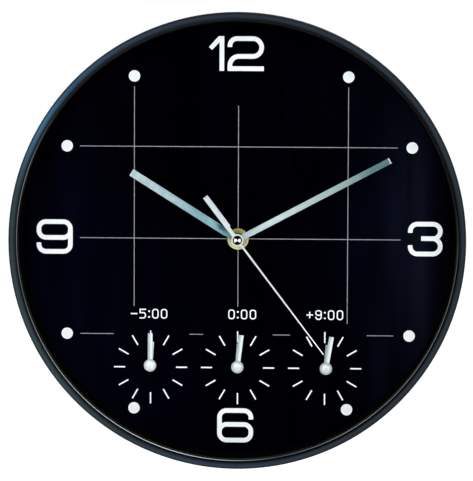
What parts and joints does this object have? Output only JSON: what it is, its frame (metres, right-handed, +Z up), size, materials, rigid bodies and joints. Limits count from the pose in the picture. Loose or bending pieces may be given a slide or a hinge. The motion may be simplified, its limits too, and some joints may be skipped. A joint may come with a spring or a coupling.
{
  "type": "wall clock",
  "caption": "Round wall clock with a black case, a line-grid dial with stroke hands, small time zone dials below the middle, and a keyhole in the back cover.",
  "frame": {"origin": "where the axis of the main hands meets the wall plane, which is the plane of the case ring's rear rim", "axes": "+Y into the wall, square to the dial; the dial faces -Y; +Z up, towards the 12; +X right, towards the 3"},
  "size_m": [0.305, 0.045, 0.305],
  "materials": {
    "case_plastic": "black, semi-gloss",
    "clear_glass": "clear, flat",
    "seal_foam": "matt",
    "spacer_plastic": "matt",
    "dial_plastic": "smooth, printed",
    "dial_ink": "screen print",
    "line_ink": "screen print",
    "cover_plastic": "fine grain",
    "screw_steel": "blackened",
    "pad_foam": "foam tape",
    "movement_plastic": "moulded",
    "washer_steel": "plain",
    "nut_brass": "turned",
    "battery_sleeve": "printed sleeve",
    "contact_metal": "nickel plated",
    "board_laminate": "solder mask",
    "stator_metal": "stamped",
    "coil_copper": "enamelled wire",
    "bridge_plastic": "moulded",
    "rotor_magnet": "ground",
    "wheel_plastic": "moulded",
    "arbor_brass": "turned",
    "knob_plastic": "fluted",
    "hour_hand_metal": "brushed",
    "minute_hand_metal": "brushed",
    "second_hand_metal": "brushed",
    "cap_chrome": "polished",
    "zone_hand_metal": "brushed",
    "zone_cap_metal": "satin"
  },
  "bodies": {
    "case": {"case_ring": "case_plastic", "lens": "clear_glass", "lens_seal": "seal_foam", "spacer_ring": "spacer_plastic", "dial_plate": "dial_plastic", "dial_print": "dial_ink", "grid_lines": "line_ink", "back_cover": "cover_plastic", "case_screws": "screw_steel", "movement_pads": "pad_foam", "movement_front_case": "movement_plastic", "movement_rear_case": "movement_plastic", "bush_washer": "washer_steel", "bush_nut": "nut_brass", "main_battery": "battery_sleeve", "positive_contact": "contact_metal", "negative_contact": "contact_metal", "circuit_board": "board_laminate", "stator": "stator_metal", "coil": "coil_copper", "train_bridge": "bridge_plastic", "left_movement_case": "movement_plastic", "left_battery": "battery_sleeve", "middle_movement_case": "movement_plastic", "middle_battery": "battery_sleeve", "right_movement_case": "movement_plastic", "right_battery": "battery_sleeve"},
    "rotor_body": {"rotor": "rotor_magnet"},
    "rotor_wheel_body": {"rotor_wheel": "wheel_plastic"},
    "second_body": {"seconds_wheel": "wheel_plastic", "second_hand": "second_hand_metal", "second_hand_cap": "cap_chrome"},
    "third_body": {"third_wheel": "wheel_plastic"},
    "minute_body": {"centre_wheel": "arbor_brass", "minute_hand": "minute_hand_metal"},
    "motion_body": {"motion_wheel": "wheel_plastic"},
    "hour_body": {"hour_wheel": "wheel_plastic", "hour_hand": "hour_hand_metal"},
    "knob_body": {"setting_knob": "knob_plastic"},
    "left_minute_body": {"left_minute_arbor": "arbor_brass", "left_minute_hand": "zone_hand_metal", "left_hand_cap": "zone_cap_metal"},
    "left_motion_body": {"left_motion_wheel": "wheel_plastic"},
    "left_hour_body": {"left_hour_pipe": "wheel_plastic", "left_hour_hand": "zone_hand_metal"},
    "left_knob_body": {"left_setting_knob": "knob_plastic"},
    "middle_minute_body": {"middle_minute_arbor": "arbor_brass", "middle_minute_hand": "zone_hand_metal", "middle_hand_cap": "zone_cap_metal"},
    "middle_motion_body": {"middle_motion_wheel": "wheel_plastic"},
    "middle_hour_body": {"middle_hour_pipe": "wheel_plastic", "middle_hour_hand": "zone_hand_metal"},
    "middle_knob_body": {"middle_setting_knob": "knob_plastic"},
    "right_minute_body": {"right_minute_arbor": "arbor_brass", "right_minute_hand": "zone_hand_metal", "right_hand_cap": "zone_cap_metal"},
    "right_motion_body": {"right_motion_wheel": "wheel_plastic"},
    "right_hour_body": {"right_hour_pipe": "wheel_plastic", "right_hour_hand": "zone_hand_metal"},
    "right_knob_body": {"right_setting_knob": "knob_plastic"}
  },
  "joints": [
    {"name": "second_hand_turn", "type": "hinge", "parent": "case", "child": "second_body", "pos_m": [0, -0.019, 0], "axis": [0, 1, 0], "continuous": true},
    {"name": "rotor_turn", "type": "hinge", "parent": "case", "child": "rotor_body", "pos_m": [-0.01237, -0.008, 0.00246], "axis": [0, 1, 0], "continuous": true},
    {"name": "rotor_wheel_turn", "type": "hinge", "parent": "case", "child": "rotor_wheel_body", "pos_m": [-0.00677, -0.007, 0.00246], "axis": [0, 1, 0], "continuous": true},
    {"name": "third_wheel_turn", "type": "hinge", "parent": "case", "child": "third_body", "pos_m": [0.00835, -0.01, 0.00585], "axis": [0, 1, 0], "continuous": true},
    {"name": "minute_hand_turn", "type": "hinge", "parent": "case", "child": "minute_body", "pos_m": [0, -0.017, 0], "axis": [0, 1, 0], "continuous": true},
    {"name": "motion_wheel_turn", "type": "hinge", "parent": "case", "child": "motion_body", "pos_m": [0, -0.015, 0.009], "axis": [0, 1, 0], "continuous": true},
    {"name": "hour_hand_turn", "type": "hinge", "parent": "case", "child": "hour_body", "pos_m": [0, -0.02, 0], "axis": [0, 1, 0], "continuous": true},
    {"name": "setting_knob_turn", "type": "hinge", "parent": "case", "child": "knob_body", "pos_m": [0, -0.008, 0.018], "axis": [0, 1, 0], "continuous": true},
    {"name": "left_minute_turn", "type": "hinge", "parent": "case", "child": "left_minute_body", "pos_m": [-0.0588, -0.017, -0.08565], "axis": [0, 1, 0], "continuous": true},
    {"name": "left_motion_turn", "type": "hinge", "parent": "case", "child": "left_motion_body", "pos_m": [-0.0588, -0.015, -0.07665], "axis": [0, 1, 0], "continuous": true},
    {"name": "left_hour_turn", "type": "hinge", "parent": "case", "child": "left_hour_body", "pos_m": [-0.0588, -0.018, -0.08565], "axis": [0, 1, 0], "continuous": true},
    {"name": "left_knob_turn", "type": "hinge", "parent": "case", "child": "left_knob_body", "pos_m": [-0.0588, -0.008, -0.06765], "axis": [0, 1, 0], "continuous": true},
    {"name": "middle_minute_turn", "type": "hinge", "parent": "case", "child": "middle_minute_body", "pos_m": [0, -0.017, -0.0863], "axis": [0, 1, 0], "continuous": true},
    {"name": "middle_motion_turn", "type": "hinge", "parent": "case", "child": "middle_motion_body", "pos_m": [0, -0.015, -0.0773], "axis": [0, 1, 0], "continuous": true},
    {"name": "middle_hour_turn", "type": "hinge", "parent": "case", "child": "middle_hour_body", "pos_m": [0, -0.018, -0.0863], "axis": [0, 1, 0], "continuous": true},
    {"name": "middle_knob_turn", "type": "hinge", "parent": "case", "child": "middle_knob_body", "pos_m": [0, -0.008, -0.0683], "axis": [0, 1, 0], "continuous": true},
    {"name": "right_minute_turn", "type": "hinge", "parent": "case", "child": "right_minute_body", "pos_m": [0.0596, -0.017, -0.08685], "axis": [0, 1, 0], "continuous": true},
    {"name": "right_motion_turn", "type": "hinge", "parent": "case", "child": "right_motion_body", "pos_m": [0.0596, -0.015, -0.07785], "axis": [0, 1, 0], "continuous": true},
    {"name": "right_hour_turn", "type": "hinge", "parent": "case", "child": "right_hour_body", "pos_m": [0.0596, -0.018, -0.08685], "axis": [0, 1, 0], "continuous": true},
    {"name": "right_knob_turn", "type": "hinge", "parent": "case", "child": "right_knob_body", "pos_m": [0.0596, -0.008, -0.06885], "axis": [0, 1, 0], "continuous": true}
  ],
  "couplings": [
    {"joint": "rotor_turn", "follows": "second_hand_turn", "ratio": 30},
    {"joint": "rotor_wheel_turn", "follows": "second_hand_turn", "ratio": -5},
    {"joint": "third_wheel_turn", "follows": "second_hand_turn", "ratio": -0.13333},
    {"joint": "minute_hand_turn", "follows": "second_hand_turn", "ratio": 0.016667},
    {"joint": "motion_wheel_turn", "follows": "second_hand_turn", "ratio": -0.0055556},
    {"joint": "hour_hand_turn", "follows": "second_hand_turn", "ratio": 0.0013889},
    {"joint": "setting_knob_turn", "follows": "second_hand_turn", "ratio": 0.016667},
    {"joint": "left_motion_turn", "follows": "left_minute_turn", "ratio": -0.33333},
    {"joint": "left_hour_turn", "follows": "left_minute_turn", "ratio": 0.083333},
    {"joint": "left_knob_turn", "follows": "left_minute_turn", "ratio": 1},
    {"joint": "middle_motion_turn", "follows": "middle_minute_turn", "ratio": -0.33333},
    {"joint": "middle_hour_turn", "follows": "middle_minute_turn", "ratio": 0.083333},
    {"joint": "middle_knob_turn", "follows": "middle_minute_turn", "ratio": 1},
    {"joint": "right_motion_turn", "follows": "right_minute_turn", "ratio": -0.33333},
    {"joint": "right_hour_turn", "follows": "right_minute_turn", "ratio": 0.083333},
    {"joint": "right_knob_turn", "follows": "right_minute_turn", "ratio": 1}
  ]
}
